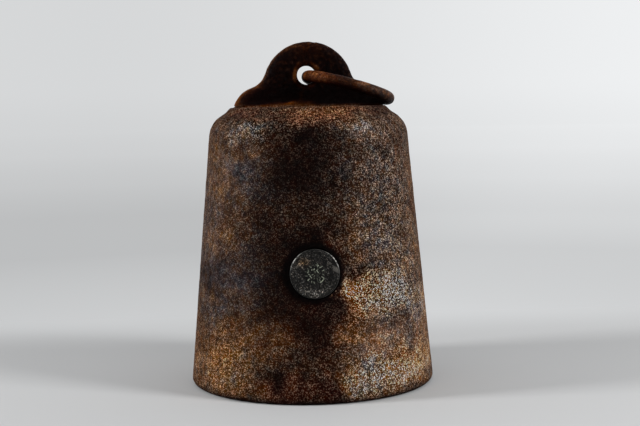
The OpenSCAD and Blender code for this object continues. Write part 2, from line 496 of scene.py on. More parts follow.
def castingHold(points):
    # full relief on the rough skin, none on the underside, in the pocket or in the eye
    x, y, z = points.T
    keep = fade(z, *holdReach["foot"])
    fromWall = np.hypot(x, z - pocket["height"]) - pocket["radius"]
    keep *= 1 - (y < 0) * (1 - fade(fromWall, *holdReach["pocket"]))
    fromEye = np.hypot(x - eye["offset"], z - eyeHeight)
    share = holdReach["lugShare"]
    onLug = z > bell["height"] + holdReach["lugFrom"]
    return keep * np.where(onLug, share + (1 - share) * fade(fromEye, *holdReach["eye"]), 1.0)


# Material helpers

def newMaterial(name):
    material = bpy.data.materials.new(name)
    material.use_nodes = True
    tree = material.node_tree
    return material, tree, tree.nodes["Principled BSDF"]


def mixColour(tree, factor, a, b):
    return put(tree, "ShaderNodeMix", {0: factor, 6: a, 7: b}, data_type="RGBA").outputs[2]


def band(tree, value, low, high, start=0.0, end=1.0, smooth=True):
    # takes low…high to start…end, and stays there beyond them
    given = {"Value": value, "From Min": low, "From Max": high, "To Min": start, "To Max": end}
    kind = "SMOOTHSTEP" if smooth else "LINEAR"
    return put(tree, "ShaderNodeMapRange", given, interpolation_type=kind).outputs[0]


def spread(tree, value, low, high):
    # from 0…1 to low…high
    return band(tree, value, 0.0, 1.0, low, high, smooth=False)


waveRange = (0.3, 0.7)      # nearly all values of a noise lie in here


def waves(tree, place, size, detail, offset=(0, 0, 0), least=-1.0):
    # a soft noise stretched to run from the least value to 1
    soft = noise(tree, place, size, detail, waveRoughness, offset)
    return band(tree, soft, *waveRange, least, 1.0, smooth=False)


def millimetres(tree):
    coordinates = put(tree, "ShaderNodeTexCoord")
    return vectors(tree, "SCALE", coordinates.outputs["Object"], scale=1 / mm)


def readFloat(tree, name):
    return put(tree, "ShaderNodeAttribute", attribute_type="GEOMETRY", attribute_name=name).outputs["Fac"]


def grains(tree, place, size, offset=(0, 0, 0)):
    # three random numbers for each small cell
    given = {"Scale": 1 / size, "Vector": vectors(tree, "ADD", place, offset)}
    cells = put(tree, "ShaderNodeTexVoronoi", given)
    return put(tree, "ShaderNodeSeparateColor", {0: cells.outputs["Color"]}).outputs


def bumps(tree, strength, distance, height):
    given = {"Strength": strength, "Distance": distance * mm, "Height": height}
    return put(tree, "ShaderNodeBump", given).outputs[0]


castRust = {
    "grain": 0.22,              # size of the rust's finest grains, mm
    "clump": 1.5,               # size of its small patches
    "mottle": 4.5,              # and of its larger ones
    "clumpTone": 0.26, "mottleTone": 0.22,      # how much the patches differ in tone
    "clumpHue": 0.30, "mottleHue": 0.14, "grainHue": 0.07,      # and in hue, as the single grains do
    "blush": 0.8,               # how much the small patches differ in redness alone
    "ochre": (0.70, 1.25),      # how yellow the warm rust is, least and most
    "glints": (0.98, 0.78),     # share of the light from scattered pale grains, in dark and pale rust
    "rarity": 0.175,            # the lower, the fewer and brighter those grains
    "paleHue": (0.24, 0.40),    # how much hue they keep, in dark and pale rust
    "hold": (0.45, 0.10),       # and how much the darkened rest keeps beyond its share
    "rough": (0.58, 0.92),      # least and most
    "bump": 0.08,               # height of its fine bumps, mm
}
barRust = {
    "grain": 0.17, "clump": 1.1, "mottle": 3.0, "clumpTone": 0.40, "mottleTone": 0.30,
    "clumpHue": 0.22, "mottleHue": 0.18, "grainHue": 0.10, "blush": 0.3,
    "ochre": (0.58, 1.00), "glints": (0.35, 0.35), "rarity": 0.24,
    "paleHue": (0.5, 0.5), "hold": (0.2, 0.2), "rough": (0.38, 0.62), "bump": 0.05,
}
# What holds for all rust here
anyRust = {
    "green": 0.45,                  # as a screen shows it, at a light of 1
    "leastTone": 0.15,
    "ochre": (0.6, 0.2),            # share that varies, and share that is always there
    "hue": (-0.05, 1.0),            # least and most
    "redByHue": (0.70, 0.025),      # red above green at a hue of 1: share of green, and a fixed part
    "red": 0.026,                   # and at any hue
    "redByBlush": (0.085, 0.016),
    "blueHue": (0.11, -0.05),       # the hue at which blue equals green, and the least that is left of it
    "blushFade": (0.2, 0.9, 1.2, 0.3),      # two hues, and the blush's share at each
    "glintLight": (0.2, 0.7),       # the lights between which the share of the pale grains changes
    "hueLight": (0.15, 0.9),        # and those for how much hue they and the rest keep
    "leastLeft": 0.10,              # of the light, beside the pale grains
    "yellowKept": 0.25,             # how much more hue the pale grains keep in yellow rust
    "glintSpread": (0.7, 1.3), "restSpread": (0.6, 1.4),
    "paleTints": [(1.08, 0.98, 0.84), (0.97, 1.01, 0.88)],
    "palest": (0.72, 0.72, 0.72),
    "hueClump": 1.15, "ochreMottle": 0.8, "coarse": 2.1,        # sizes beside the look's own
    "specular": 0.03, "bumpStrength": 0.8, "bumpSize": 0.5, "bumpGrains": 0.3,
}
rustOffsets = {
    "clump": (3, 3, 9), "mottle": (60, 8, 9), "clumpHue": (13, 50, 4), "mottleHue": (2, 18, 90),
    "ochre": (42, 1, 66), "blush": (33, 5, 71), "coarse": (13, 5, 2), "bump": (1, 50, 2),
}
screenGamma = 2.2


def rustGreen(tree, place, look, light):
    # the mean paleness, as the green that a screen would show
    clump = waves(tree, place, look["clump"], 2.0, rustOffsets["clump"])
    mottle = waves(tree, place, look["mottle"], 3.0, rustOffsets["mottle"])
    swing = timesPlus(tree, clump, look["clumpTone"], 1.0)
    swing = timesPlus(tree, mottle, look["mottleTone"], swing)
    swing = maths(tree, "MAXIMUM", swing, anyRust["leastTone"])
    return times(tree, times(tree, light, anyRust["green"]), swing)


def rustHue(tree, place, look, warm, sparkle, grain):
    # runs from 0, grey, to 1, orange
    clump = waves(tree, place, look["clump"] * anyRust["hueClump"], 2.0, rustOffsets["clumpHue"])
    mottle = waves(tree, place, look["mottle"], 3.0, rustOffsets["mottleHue"])
    hue = timesPlus(tree, clump, times(tree, sparkle, look["clumpHue"]), warm)
    hue = timesPlus(tree, mottle, look["mottleHue"], hue)
    ofGrain = times(tree, spread(tree, grain, -1.0, 1.0), look["grainHue"])
    hue = timesPlus(tree, ofGrain, sparkle, hue)
    least, most = anyRust["hue"]
    return maths(tree, "MINIMUM", maths(tree, "MAXIMUM", hue, least), most)


def redAbove(tree, place, look, green, hue, sparkle):
    # how far red stands above green
    share, base = anyRust["redByHue"]
    rise = timesPlus(tree, hue, timesPlus(tree, green, share, base), anyRust["red"])
    blush = waves(tree, place, look["clump"], 2.0, rustOffsets["blush"])
    blush = times(tree, times(tree, blush, sparkle), look["blush"])
    blush = times(tree, blush, band(tree, hue, *anyRust["blushFade"]))
    share, base = anyRust["redByBlush"]
    return timesPlus(tree, blush, timesPlus(tree, green, share, base), rise)


def blueBelow(tree, place, look, green, hue, yellow):
    # how far blue stands below green
    ochre = waves(tree, place, look["mottle"] * anyRust["ochreMottle"], 2.0, rustOffsets["ochre"], 0.0)
    share, base = anyRust["ochre"]
    ochre = timesPlus(tree, ochre, share, plus(tree, yellow, base))
    zero, least = anyRust["blueHue"]
    fall = times(tree, maths(tree, "MAXIMUM", maths(tree, "SUBTRACT", hue, zero), least), green)
    fall = times(tree, fall, band(tree, ochre, 0.0, 1.0, *look["ochre"]))
    return maths(tree, "MINIMUM", fall, green)


def screenColour(tree, green, rise, fall):
    # from the numbers as a screen shows them to light
    red, blue = plus(tree, green, rise), maths(tree, "SUBTRACT", green, fall)
    blue = maths(tree, "MAXIMUM", blue, 0.0)
    shown = put(tree, "ShaderNodeCombineColor", {0: red, 1: green, 2: blue}).outputs[0]
    return put(tree, "ShaderNodeGamma", {"Color": shown, "Gamma": screenGamma}).outputs[0]


def whiteOf(tree, colour, chance):
    # a pale grey of the same strength as the colour, now a little reddish, now a little green
    grey = put(tree, "ShaderNodeRGBToBW", {0: colour}).outputs[0]
    return vectors(tree, "SCALE", mixColour(tree, chance, *anyRust["paleTints"]), scale=grey)


def rustColour(tree, place, look, fine, coarse):
    # painted fields: light is the mean paleness, warm runs from grey to orange, sparkle is how grainy it is
    light, warm, sparkle, yellow = [readFloat(tree, name) for name in ("light", "warm", "sparkle", "yellow")]
    green = rustGreen(tree, place, look, light)
    hue = rustHue(tree, place, look, warm, sparkle, coarse[0])
    rise = redAbove(tree, place, look, green, hue, sparkle)
    fall = blueBelow(tree, place, look, green, hue, yellow)
    mean = screenColour(tree, green, rise, fall)
    # part of that light is gathered in few pale grains, and the rest is left darker and stronger in hue
    share = times(tree, sparkle, band(tree, light, *anyRust["glintLight"], *look["glints"]))
    left = maths(tree, "MAXIMUM", maths(tree, "SUBTRACT", 1.0, share), anyRust["leastLeft"])
    kept = maths(tree, "POWER", left, 1 / screenGamma)
    hold = band(tree, light, *anyRust["hueLight"], *look["hold"])
    held = timesPlus(tree, maths(tree, "SUBTRACT", 1.0, kept), hold, kept)
    dark = screenColour(tree, times(tree, green, kept), times(tree, rise, held), times(tree, fall, held))
    gathered = vectors(tree, "SUBTRACT", mean, dark)
    paleHue = band(tree, light, *anyRust["hueLight"], *look["paleHue"])
    paleHue = timesPlus(tree, yellow, anyRust["yellowKept"], paleHue)
    pale = mixColour(tree, paleHue, whiteOf(tree, gathered, fine[2]), gathered)
    glint = band(tree, fine[0], 1 - 2 * look["rarity"], 1.0, 0.0, 1 / look["rarity"])
    glint = times(tree, glint, spread(tree, coarse[1], *anyRust["glintSpread"]))
    dark = vectors(tree, "SCALE", dark, scale=spread(tree, fine[1], *anyRust["restSpread"]))
    whole = vectors(tree, "ADD", dark, vectors(tree, "SCALE", pale, scale=glint))
    return vectors(tree, "MINIMUM", whole, anyRust["palest"])


def rustMaterial(name, look):
    material, tree, shader = newMaterial(name)
    place = millimetres(tree)
    fine = grains(tree, place, look["grain"])
    coarse = grains(tree, place, look["grain"] * anyRust["coarse"], rustOffsets["coarse"])
    lumps = noise(tree, place, anyRust["bumpSize"], 2.0, waveRoughness, rustOffsets["bump"])
    lumps = plus(tree, lumps, times(tree, coarse[0], anyRust["bumpGrains"]))
    fill(tree, shader, {"Base Color": rustColour(tree, place, look, fine, coarse),
                        "Roughness": band(tree, coarse[2], 0.0, 1.0, *look["rough"]),
                        "Specular IOR Level": anyRust["specular"],
                        "Normal": bumps(tree, anyRust["bumpStrength"], look["bump"], lumps)})
    return material


# Soft patches of the rust, seen from the front, which also paint shade darker down the front's middle and
# paler towards its sides: across and height in mm, half width, half height, change
skinPatches = {
    "light": {
        "base": 0.46,
        "front": [
            # under the flat's edge and down the shoulder, with a paler band at (3, 78) that is partly painted
            # top light, and painted lamp glints at (-17.5, 73.8) and (14, 73)
            (-20.5, 76.5, 4, 2.2, -0.24), (-12, 76.5, 4, 2, -0.08), (3, 78, 8, 2.4, 0.22),
            (17.5, 78.8, 5, 2, -0.2), (-17.5, 73.8, 4.8, 2.1, 0.58), (14, 73, 7, 2.7, 0.2),
            (12.4, 75.6, 2.4, 1.3, -0.09), (21, 75.4, 2, 1.5, -0.1), (1, 71.5, 6, 1.5, -0.06),
            (-3, 73, 1.8, 2, -0.22), (5, 76.2, 2.2, 1.4, -0.14), (7.2, 73.6, 2.2, 1.5, 0.12),
            (-23, 70, 2.6, 3, -0.08), (-12.5, 71.8, 3, 1.6, -0.12), (-23.5, 62, 7, 9, 0.18),
            (-15, 67, 2.5, 2.5, 0.12), (17.5, 66, 1.7, 1.8, 0.12), (0, 66, 7.5, 8.5, -0.28),
            (-8, 63.5, 4, 6, -0.13), (-13, 59, 5, 5, -0.1), (21, 66.6, 2.6, 2.2, -0.3),
            (12, 68.3, 2.2, 1.6, -0.14), (22.8, 66.3, 1.3, 1.7, 0.3), (-20.5, 67.5, 2, 1.6, -0.1),
            (16.5, 71, 3, 2, 0.17), (10, 63, 3, 3, 0.06),
            # the upper wall
            (20, 54, 11, 14, 0.19), (-1, 57, 6, 5.5, -0.15), (-12, 48, 4.5, 6, -0.17),
            (0.5, 45, 7, 5, -0.25), (-25, 43, 4.5, 2.6, 0.18), (13.5, 44.3, 4.3, 3.4, 0.18),
            (5.5, 43.5, 2.5, 2, 0.1), (9, 40, 2.4, 2.2, -0.1), (23, 40, 5, 4, 0.18),
            (26.5, 37.5, 1.2, 2.4, 0.26), (25.5, 39.8, 2.5, 2.2, -0.18), (-9, 38, 6, 6, -0.16),
            (2, 39, 7, 5, -0.18), (-30, 45, 5, 25, 0.07), (18, 38.5, 5, 2.5, 0.12), (31, 37, 3, 6, 0.07),
            # beside and below the plug
            (0, 31, 7, 6, -0.14), (-10.5, 28, 5.5, 6, -0.22), (-29, 32, 3, 4, -0.18),
            (-22.5, 30, 3.5, 3, 0.1), (19.6, 29.5, 6.5, 4.6, 1.00), (9.5, 31, 3, 2.2, 1.16),
            (29, 24.5, 4, 4.5, 0.4), (12.6, 34, 4, 1.8, -0.42), (12.2, 37, 1.8, 1.5, 0.14),
            (18.6, 32.8, 1.9, 1.5, 0.26), (20.6, 35, 3, 1.5, -0.18), (26, 33.8, 1.8, 1.6, 0.12),
            (6.5, 26.5, 2.4, 3, -0.24), (14.2, 28.6, 2.2, 1.8, -0.28), (11, 26.8, 2.3, 1.8, 0.26),
            (20, 27.5, 3.5, 2, 0.1), (15, 24.8, 4, 2.2, 0.28), (11.8, 24, 1.7, 2.2, -0.14),
            (29.5, 29, 2.5, 3, -0.3),
            # below it
            (-1, 21, 7, 6, -0.26), (-9, 17.8, 4, 2.5, 0.16), (-4.5, 14.8, 2.3, 1.7, -0.11),
            (9.5, 20.5, 3, 5, 0.16), (18.5, 16.5, 7, 3.5, 0.34), (25.4, 21, 3.3, 2.6, -0.26),
            (29, 19.5, 3, 3, 0.14), (27, 15, 3.2, 3, -0.26), (6.8, 18.2, 2.2, 2.8, 0.32),
            (4.5, 17, 2, 3.5, -0.16), (-15, 22.5, 2.5, 2, -0.1), (-24, 23, 4, 4, 0.08),
            (31, 16, 3.5, 10, 0.24), (25.4, 14.2, 3, 2.3, 0.36),
            # the foot
            (-25.5, 8.5, 8.5, 8.5, 0.3), (-26.3, 8.8, 3, 2.2, 0.08), (-23, 14, 4, 3, 0.08),
            (0, 13, 6, 4, -0.08), (7.6, 12.5, 1.5, 2.6, -0.08), (11.6, 13, 1.8, 2, 0.12),
            (-12.1, 6.2, 2.4, 3, -0.34), (-8.8, 11.8, 2.3, 1.7, -0.1), (-14.8, 10, 2, 2.2, 0.12),
            (3.5, 4.5, 3, 4, -0.22), (9.7, 5.6, 2.5, 4.4, 0.34), (18, 6.3, 8.5, 5.5, 0.58),
            (24.5, 7.8, 4.6, 3.4, 0.6), (27.2, 8.6, 3, 2.2, -0.26), (28, 5, 3.5, 2.2, 0.24),
            (12.5, 3, 3.5, 2.2, 0.14), (9.8, 1.9, 2, 1.8, -0.24), (14, 12, 2.5, 2, 0.28),
            (21, 11.6, 3, 1.8, -0.2), (25.8, 2.4, 4, 1.8, -0.32), (6.5, 2.5, 2, 2, -0.18),
            (-3.2, 5, 2.4, 2.6, -0.18), (-2, 0.5, 9, 2, -0.1), (31, 8.5, 3, 3.5, 0.28),
            (22, 1, 10, 2, 0.08),
        ],
        "back": [
            (0, 77.5, 20, 2.2, 0.12), (14, 60, 9, 12, -0.2), (-10, 66, 8, 7, 0.14),
            (-20, 45, 8, 12, 0.14), (6, 36, 11, 8, 0.24), (-8, 24, 9, 8, -0.22), (20, 22, 8, 10, 0.12),
            (-22, 8, 9, 7, 0.28), (8, 8, 10, 6, -0.14),
        ],
    },
    "sparkle": {
        "base": 0.85,
        "front": [
            # (-15, 73.5) makes the painted lamp glints on the left shoulder grainier
            (-22, 62, 9, 16, -0.2), (-20, 33, 12, 8, -0.3), (0, 77, 20, 3, 0.25), (20, 52, 9, 16, 0.2),
            (18, 28, 12, 6, 0.35), (18, 8, 12, 7, 0.2), (-15, 73.5, 5, 3, 0.5), (-32, 50, 6, 30, -0.25),
            (32, 45, 4, 35, -0.3), (-24, 62, 5, 9, -0.12), (-14, 20, 10, 5, -0.2), (18, 18, 9, 5, -0.28),
            (-14, 64, 6, 8, -0.1),
        ],
    },
    "yellow": {
        "front": [
            (-24, 9, 10, 8, 0.22), (20, 20, 9, 5, -0.2), (20, 14, 8, 4, -0.1), (2, 78, 18, 2.2, 0.6),
            (18, 62, 10, 12, -0.25), (10, 21, 3, 5, 0.2),
        ],
    },
    "warm": {
        "base": 0.48,
        "front": [
            # under the flat's edge and down the shoulder, greyer at the painted lamp glints
            (5, 77.6, 14, 2.5, 0.56), (-19, 78.2, 5, 1.8, 0.48), (16.5, 79, 3, 1.5, 0.12),
            (-17.5, 73.4, 5.5, 2, -0.36), (13.5, 73, 10, 2.8, -0.28), (-10.5, 70, 4, 2.5, 0.28),
            (19.5, 67, 2.5, 1.8, -0.14),
            # the upper wall
            (-17, 61, 5, 7, -0.38), (-29, 50, 3.5, 18, -0.24), (-24.5, 43.5, 4, 3, 0.16),
            (-17.5, 42, 4, 3.5, -0.26), (18, 55.5, 7, 8, -0.2), (18, 65, 5, 4, -0.08),
            (-10, 57.5, 4, 3.5, -0.13), (7, 59.5, 2.2, 3.4, -0.18), (-7.5, 40, 3, 2, 0.13),
            (19, 43, 6.5, 3, -0.36), (5.5, 43.3, 3, 1.8, 0.32), (10, 46, 3, 1.8, 0.12),
            # beside and below the plug
            (-19, 32, 11, 6.2, -0.42), (-22, 29, 3, 2.5, 0.2), (-23, 24.5, 3, 2, -0.16),
            (16, 34.8, 4, 1.9, -0.2), (26, 30, 5, 8, -0.12), (10.8, 28.5, 3.4, 4.2, 0.66),
            (-1, 26, 7, 5, 0.34),
            # below it
            (-8, 17, 14, 6, 0.14), (19, 22, 5.5, 2.2, -0.26), (28, 9, 2.6, 1.6, -0.14),
            (22, 17.5, 2.6, 1.8, -0.14), (16.5, 23, 2.4, 1.6, 0.22), (28, 23, 2.5, 6, -0.18),
            (-28.5, 21, 2.2, 2.6, -0.3), (-21, 15, 3, 1.8, -0.12), (6.5, 18, 2.2, 3, 0.26),
            (11, 22, 3, 3, 0.14), (11, 16.2, 3, 2, -0.16),
            # the foot
            (-27, 12.5, 6, 5, 0.2), (-22.5, 8.5, 3, 2, -0.14), (-9.5, 3.5, 4.5, 2.6, 0.84),
            (-8, 4, 2.8, 1.8, 0.52), (1, 4, 6, 3, 0.66), (-22, 3, 9, 3, 0.14), (-12, 6.8, 2, 1.6, -0.2),
            (3.5, 9.8, 3.5, 2, 0.38), (14, 10.5, 4, 2.6, -0.24), (27.5, 8.5, 4, 3, 0.32),
            (23, 10.5, 3, 1.6, 0.12), (11.5, 3.3, 2.6, 1.8, -0.28), (22.5, 6.8, 3, 1.5, -0.12),
        ],
        "back": [
            (0, 77.5, 24, 2.4, 0.22), (-6, 64, 9, 6, -0.25), (12, 38, 10, 7, 0.2), (-18, 30, 9, 8, -0.2),
            (-20, 9, 12, 8, 0.3), (16, 8, 9, 6, -0.15),
        ],
    },
}

# The lug is smoother and darker, partly as painted shade, brown along its rim and where the ring rubs
lugPatches = {
    "mottleSize": 0.9, "mottleRise": (82, 86), "mottleLight": 0.26,
    "light": {
        "base": 0.045,
        "front": [
            # (0, 82) is painted shade under the ring, and (-4.5, 79.6) a painted highlight along the root's
            # fillet
            (-2, 96, 7, 2.2, 0.09), (-12, 89, 2, 4, 0.05), (-20.5, 80, 1.6, 1.6, 0.22),
            (-4.5, 79.6, 5, 0.6, 0.45), (-2, 81.5, 0.5, 1.6, 0.2), (-20, 80.8, 2, 1.5, 0.1),
            (-17.5, 83, 2, 1.5, 0.12), (-15, 85, 1.5, 1.5, 0.1), (0, 82, 22, 3.5, -0.05),
            (-1, 91.5, 5, 1.6, 0.03),
        ],
    },
    "warm": {
        "base": 0.42,
        # (-4.5, 79.6) warms the painted highlight along the root's fillet
        "front": [(0, 95.5, 8, 2.5, 0.20), (-16, 82, 7, 3, 0.30), (-4.5, 79.6, 6, 1.0, 0.55)],
    },
}

# How far the patches wander from their places and at what size, mm; a seed of 0 would change them each time
wander = {"seed": 3, "skin": (3.0, 6.0), "lug": (1.2, 3.0)}
patchSoftness = 0.8


def sumPatches(place, patches):
    total = np.zeros(len(place))
    for across, height, wide, tall, amount in patches:
        away = ((place[:, 0] - across) / wide) ** 2 + ((place[:, 2] - height) / tall) ** 2
        total += amount * np.exp(-patchSoftness * away)
    return total


def wandered(points, reach, size):
    # shifts the points so that the patches get irregular outlines
    fractal.seed_set(wander["seed"])
    pushes = np.array([fractal.noise_vector(Vector(p) / size) for p in points])
    return points + pushes * reach


# Where the casting's fields change, in mm, and by how much
castShading = {
    "lug": (0.1, 0.9),              # above the flat
    "sides": (8.0, -8.0),           # depth over which the back's patches give way to the front's
    "front": (0.0, -14.0),          # and over which the sparkle and the yellow come in
    "range": (0.03, 1.6),           # least and most light and warmth of the patches
    # a painted highlight along the lug's rounded rim, more at the left
    "rim": (0.22, 0.75), "rimFromEye": (6, 7), "rimLeft": (2, -10),
    "rimHighlight": (0.10, 0.30), "rimHighlightWarm": (0.02, 0.12),      # all along it, and added at the left
    "backSparkle": 0.25, "sparkle": (0.2, 1.5), "lugSparkle": 0.25,
    "mouth": (0.2, -0.5),           # from the edge of the eye's mouth
    "mouthLight": (0.03, 0.30), "mouthWarm": 0.4,
    "mouthHighlights": [(178, 40), (38, 26)],     # turn and spread of its two bare stretches with painted highlights, degrees
    # painted shade along the foot's edge, as a contact shadow
    "footShade": (0.0, 2.2), "footShadeKept": 0.35,
    # painted shadow in the gap round the plug
    "gapShade": 7.7, "gapShadeLeft": 0.5, "gapShadeEdge": (1.2, -0.3), "gapShadeShare": 0.92, "darkest": 0.02,
    "beadRing": (7.3, 0.16),        # radius round the plug, and width
    "beads": [(-54, 3.5, 1.0), (-42, 2.5, 0.8)],    # turn, spread in degrees, and strength
    "beadLight": 1.3, "beadWarm": -0.4,
}


def patchFields(points, onLug):
    shade = castShading
    skinPlace, lugPlace = wandered(points, *wander["skin"]), wandered(points, *wander["lug"])
    frontShare = fade(points[:, 1], *shade["sides"])
    fields = {}
    for name in ("light", "warm"):
        front = sumPatches(skinPlace, skinPatches[name]["front"])
        back = sumPatches(skinPlace, skinPatches[name]["back"])
        body = skinPatches[name]["base"] + front * frontShare + back * (1 - frontShare)
        top = lugPatches[name]["base"] + sumPatches(lugPlace, lugPatches[name]["front"])
        fields[name] = np.clip(body * (1 - onLug) + top * onLug, *shade["range"])
    onFront = fade(points[:, 1], *shade["front"])
    grainy = skinPatches["sparkle"]
    sparkle = grainy["base"] + sumPatches(skinPlace, grainy["front"]) * onFront
    sparkle -= shade["backSparkle"] * (1 - onFront)
    fields["sparkle"] = np.clip(sparkle, *shade["sparkle"]) * (1 - (1 - shade["lugSparkle"]) * onLug)
    fields["yellow"] = sumPatches(skinPlace, skinPatches["yellow"]["front"]) * onFront
    return fields


def castFields(points, normals):
    shade = castShading
    x, y, z = points.T
    onLug = fade(z - bell["height"], *shade["lug"])
    fields = patchFields(points, onLug)
    # the lug's rounded rim gets a painted highlight, paler and browner, more so at the left
    nearEye = np.hypot(x - eye["offset"], z - eyeHeight)
    rim = onLug * fade(1 - np.abs(normals[:, 1]), *shade["rim"]) * fade(nearEye, *shade["rimFromEye"])
    leftward = fade(x, *shade["rimLeft"])
    for name, (always, atLeft) in (("light", shade["rimHighlight"]), ("warm", shade["rimHighlightWarm"])):
        fields[name] += rim * (always + atLeft * leftward)
    # brown mottles on the upper faces of the lug
    mottle = np.array([fractal.noise(Vector(p) / lugPatches["mottleSize"]) for p in points])
    mottle = onLug * fade(z, *lugPatches["mottleRise"]) * np.maximum(mottle, 0)
    fields["light"] += lugPatches["mottleLight"] * mottle
    # the eye's worn mouth is bare orange with two painted highlights, and the edge at the foot is darkened as
    # painted shade
    rubbed = onLug * fade(nearEye - eye["mouthRadius"], *shade["mouth"])
    turn = np.degrees(np.arctan2(z - eyeHeight, x - eye["offset"])) % 360
    highlighted = sum(hump(turn, middle, width) for middle, width in shade["mouthHighlights"])
    fields["light"] += rubbed * (shade["mouthLight"][0] + shade["mouthLight"][1] * highlighted)
    fields["warm"] += rubbed * shade["mouthWarm"]
    fields["light"] *= shade["footShadeKept"] + (1 - shade["footShadeKept"]) * fade(z, *shade["footShade"])
    # painted shadow lies in the gap round the plug, wider at its left
    fromPlug = np.hypot(x, z - pocket["height"])
    reach = shade["gapShade"] - shade["gapShadeLeft"] * x / np.maximum(fromPlug, 1.0)
    halo = (y < 0) * fade(fromPlug - reach, *shade["gapShadeEdge"])
    fields["light"] = np.maximum(fields["light"] * (1 - shade["gapShadeShare"] * halo), shade["darkest"])
    # and two bright beads are painted beside it at the lower right
    turn = np.degrees(np.arctan2(z - pocket["height"], x))
    beads = sum(strength * hump(turn, middle, width) for middle, width, strength in shade["beads"])
    beads = beads * hump(fromPlug, *shade["beadRing"]) * (y < 0)
    fields["light"] += shade["beadLight"] * beads
    fields["warm"] += shade["beadWarm"] * np.minimum(beads, 1)
    return fields


def makeCasting(material, tree):
    casting = spun("rustyCasting", bellProfile(), bellTurns())
    combine(casting, makeLugBlank(), "UNION")
    combine(casting, eyeCutter(), "DIFFERENCE")
    combine(casting, pocketCutter(), "DIFFERENCE")
    points = pointArray(casting)
    storeFloat(casting, "skin", castingHold(points))
    for name, values in castFields(points, vertexArray(casting, "normal")).items():
        storeFloat(casting, name, values)
    addRelief(casting, tree, castSkin, material)
    finishMesh(casting)
    return casting


relief = reliefTree("castRelief")
castIron = rustMaterial("rustyCastIron", castRust)
casting = makeCasting(castIron, relief)
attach(casting, "weight")
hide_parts("weight_casting")
print("casting:", len(casting.data.polygons), "faces")


# The carrying ring: a round bar bent to a circle, its ends butted at the back

ring = {
    "radius": 12.0, "bar": 1.7, "butt": 115.0, "gap": 0.3, "steps": 330, "around": 44,
    "pivot": (0.1015, 0, 87.4266), "tilt": 4.0, "lean": 15.97,
}
ringSkin = {
    "lumpHeight": 0.10, "lumpSize": 6.0, "rippleHeight": 0.10, "rippleSize": 2.0,
    "grainHeight": 0.05, "grainSize": 0.8, "pitDepth": 0.06, "pitSize": 1.6,
}
# Amounts, and the distances from the eye, mm, over which they come in
ringShading = {
    "light": 0.25, "rubbedLight": (0.18, 8, 2), "farLight": (0.17, 10, 19),
    # a painted highlight on top of the bar, just past the ring's middle
    "topHighlight": 0.14, "topHighlightPlace": (15, 2.2), "topHighlightUp": (0.0, 0.7),
    # painted shade: the bar's underside keeps only this share of its paleness
    "under": 0.30, "undersideShadeTurn": (-0.9, 0.35),       # share of light underneath, and where it starts and ends
    "warm": 0.60, "rubbedWarm": (0.35, 11, 3), "farWarm": (-0.16, 12, 20),
}


def makeRing(material, tree):
    half = math.asin(ring["gap"] / 2 / ring["radius"])
    start = math.radians(ring["butt"]) + half
    sweep = np.linspace(start, start + 2 * math.pi - 2 * half, ring["steps"])
    n = ring["around"]
    points = []
    for t in sweep:
        for a in fullTurn(n):
            r = ring["radius"] + ring["bar"] * math.cos(a)
            points.append((r * math.cos(t), r * math.sin(t), ring["bar"] * math.sin(a)))
    faces = [tuple(reversed(f)) for f in bridgeRows(len(sweep), n)]
    faces.append(tuple(range(n)))
    faces.append(tuple((len(sweep) - 1) * n + i for i in range(n - 1, -1, -1)))
    made = meshObject("ironRing", points, faces)
    place = Matrix.Translation(ring["pivot"])
    place = place @ Matrix.Rotation(math.radians(ring["lean"]), 4, "Y")
    place = place @ Matrix.Rotation(math.radians(-ring["tilt"]), 4, "X")
    place = place @ Matrix.Translation((ring["radius"], 0, 0))
    made.data.transform(Matrix.Scale(mm, 4) @ place)
    storeFloat(made, "skin", np.ones(len(points)))
    for name, values in ringFields(pointArray(made), vertexArray(made, "normal")[:, 2]).items():
        storeFloat(made, name, values)
    addRelief(made, tree, ringSkin, material)
    finishMesh(made)
    return made


def growing(values, amount, start, end):
    return amount * fade(values, start, end)


def ringFields(points, upward):
    # orange where it rubs in the eye, dark in the middle, greyer at the far end; painted shade underneath, a
    # painted highlight on top
    shade = ringShading
    fromEye = points[:, 0] - ring["pivot"][0]
    light = shade["light"] + growing(fromEye, *shade["rubbedLight"]) + growing(fromEye, *shade["farLight"])
    light += shade["topHighlight"] * hump(fromEye, *shade["topHighlightPlace"]) * fade(upward, *shade["topHighlightUp"])
    light *= shade["under"] + (1 - shade["under"]) * fade(upward, *shade["undersideShadeTurn"])
    warm = shade["warm"] + growing(fromEye, *shade["rubbedWarm"]) + growing(fromEye, *shade["farWarm"])
    return {"light": light, "warm": warm, "sparkle": np.ones(len(points)), "yellow": np.zeros(len(points))}


ironRing = makeRing(rustMaterial("rustyRingIron", barRust), relief)
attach(ironRing, "ring")
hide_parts("carrying_ring")
print("ring:", len(ironRing.data.polygons), "faces")


# The stamp plug, with a worn punched rosette

plug = {
    "radius": 6.65, "length": 7.0, "proud": 0.35, "chamfer": 0.40, "chamferSteps": 7,
    "shank": 0.30,                      # from the chamfer to the next row of points
    "collarRadius": 7.65, "collarNear": 3.65, "collarFar": 5.15,
    "faceGrid": 0.075, "turns": 240, "sharpAngle": 70,
    "skin": (-0.1, -0.05),              # the relief comes in between the chamfer's foot and the face
    "dent": 0.07, "dentSize": 2.2, "grain": 0.035, "grainSize": 0.6, "grainOffset": (7, 3, 1),
    "strokeWidth": 0.09, "strokeDepth": 0.12, "strokeLip": 0.3,     # the lip is a share of the depth
    "dish": 0.06, "dishRange": (5.5, 0.5), "highest": 0.05,
}
# Its ticks stand in uneven rings, as (inner radius, outer radius, count, unevenness)
punchRings = [(0.40, 0.95, 6, 0.45), (1.20, 1.75, 11, 0.45), (2.05, 2.75, 15, 0.45)]
